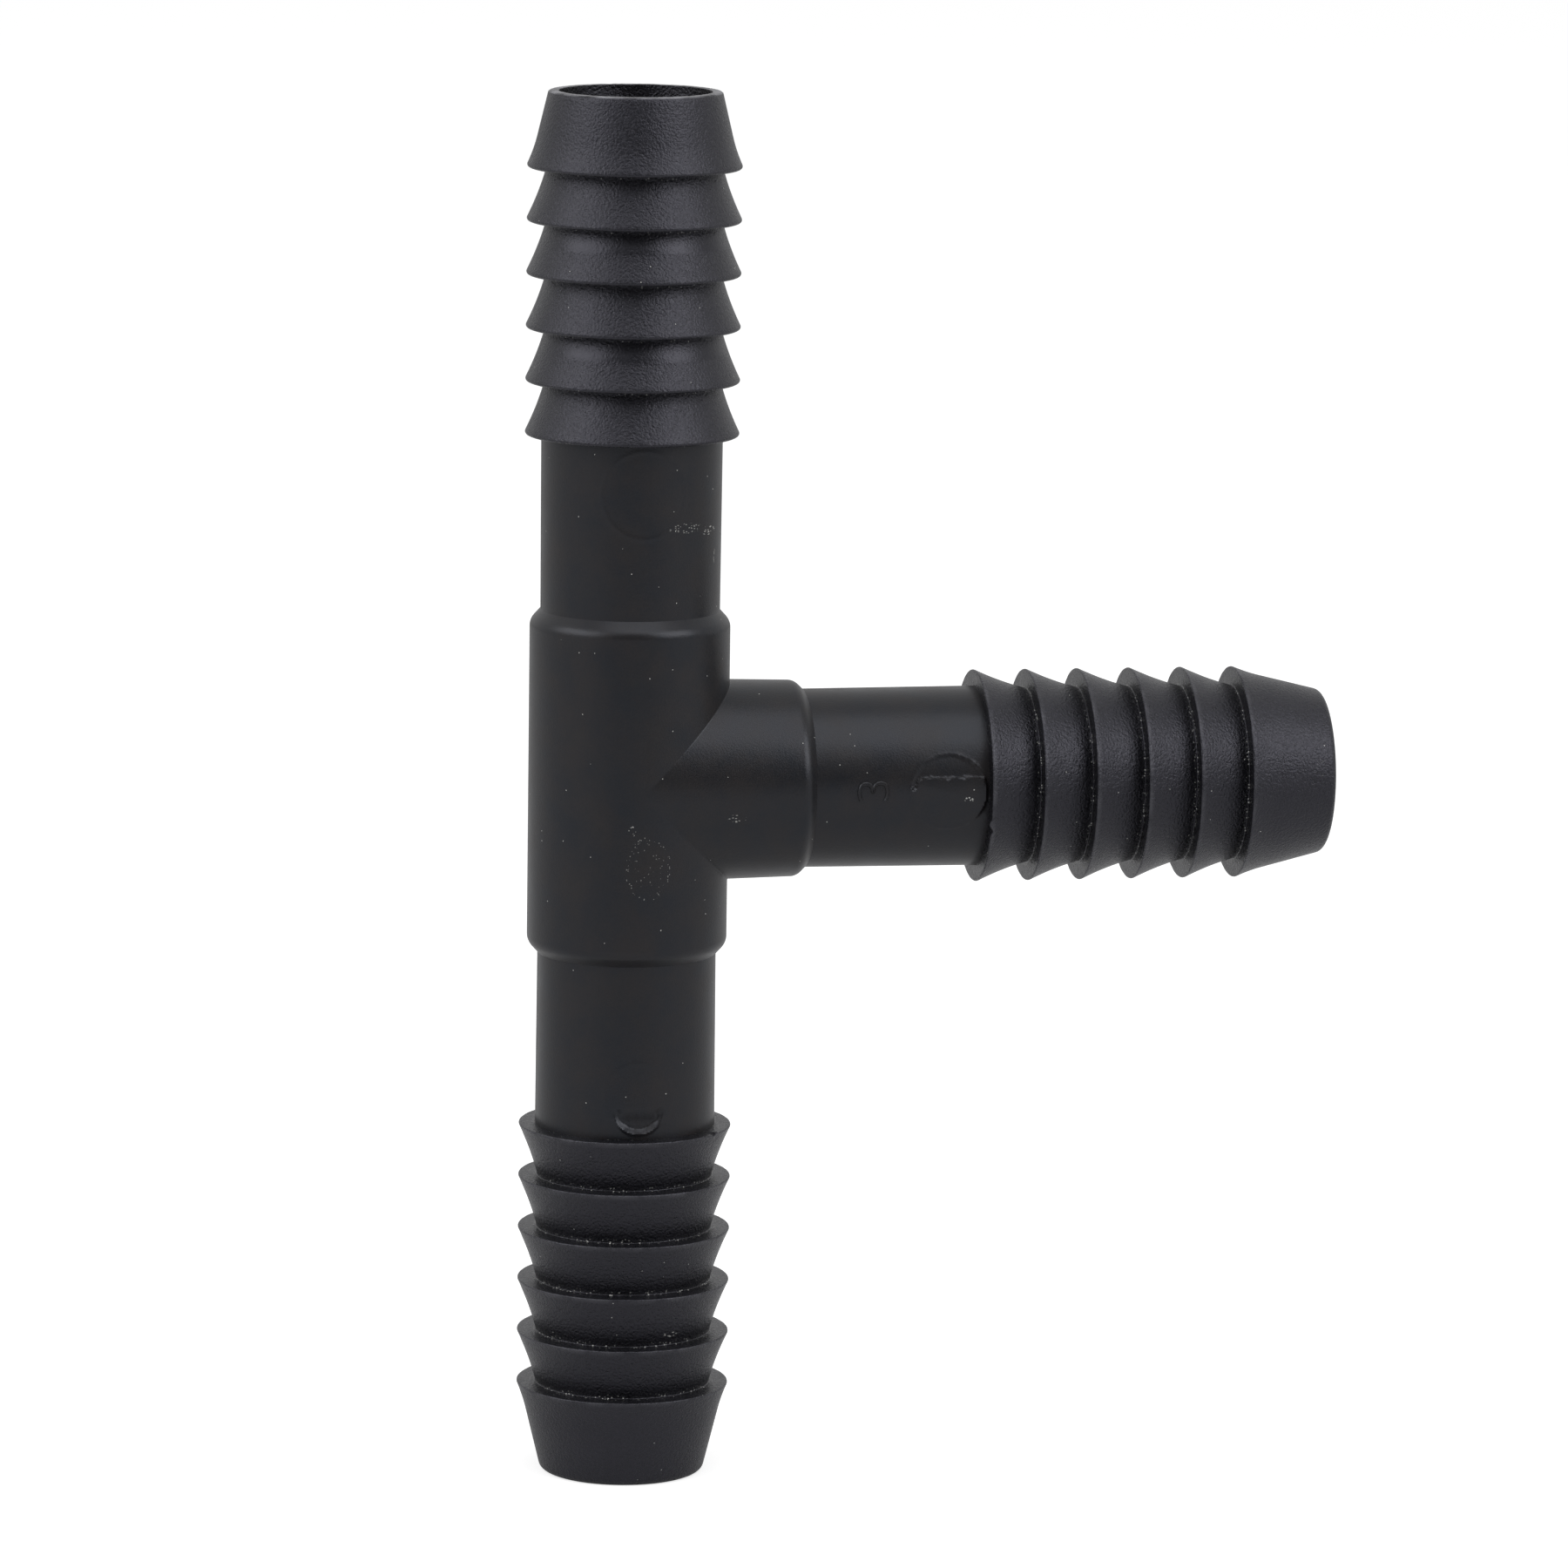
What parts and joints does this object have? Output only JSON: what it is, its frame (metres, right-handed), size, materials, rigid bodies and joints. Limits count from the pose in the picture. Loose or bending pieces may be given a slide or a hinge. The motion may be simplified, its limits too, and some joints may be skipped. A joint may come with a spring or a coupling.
{
  "type": "barbed tee connector",
  "caption": "Equal barbed tee that joins a branch of soft irrigation hose into a straight run, with stacked barbs and a lead-in nose on each end.",
  "frame": {"origin": "where the axis of the run crosses the axis of the branch", "axes": "+Z along the run, towards the end whose nose is cut short; +X along the branch, towards its open end; -Y towards the viewer of the picture"},
  "size_m": [0.0862, 0.0226, 0.1476],
  "materials": {
    "smooth_plastic": "black moulded polymer, satin",
    "textured_plastic": "black moulded polymer with a fine spark-eroded grain, matte"
  },
  "bodies": {
    "root": {"tee_hub": "smooth_plastic", "upper_neck": "smooth_plastic", "lower_neck": "smooth_plastic", "branch_neck": "smooth_plastic", "barbs": "textured_plastic", "noses": "textured_plastic"}
  },
  "joints": []
}
